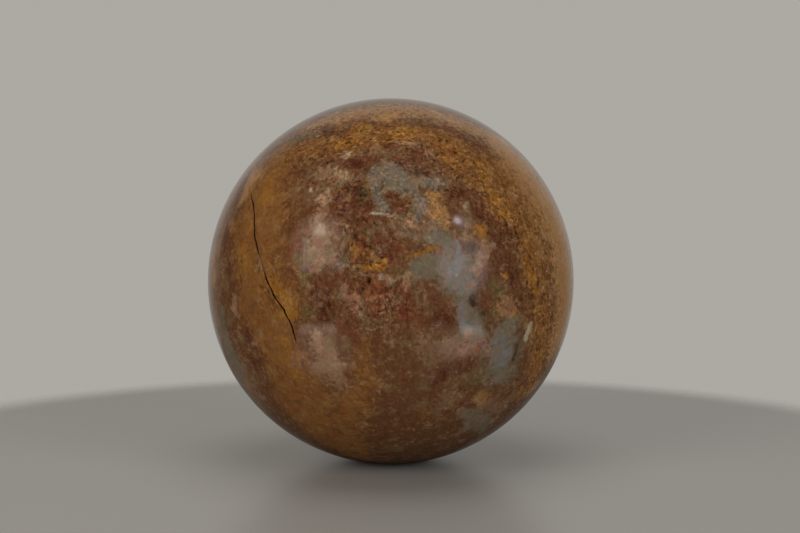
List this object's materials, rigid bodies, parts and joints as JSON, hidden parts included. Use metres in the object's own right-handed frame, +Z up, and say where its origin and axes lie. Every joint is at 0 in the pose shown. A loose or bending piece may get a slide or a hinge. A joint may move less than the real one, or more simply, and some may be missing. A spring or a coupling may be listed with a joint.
{
  "type": "decorative stone sphere",
  "caption": "Polished jasper ball with a small ground flat to stand on and a hairline crack down one side, for display on a shelf or desk.",
  "frame": {"origin": "centre of the small ground flat that the ball stands on", "axes": "+Z up through the ball's centre, -Y towards the front, so the crack is on the front's left side, towards -X"},
  "size_m": [0.1, 0.1, 0.0995],
  "materials": {
    "jasper": "polished"
  },
  "bodies": {
    "root": {"jasper_ball": "jasper"}
  },
  "joints": []
}
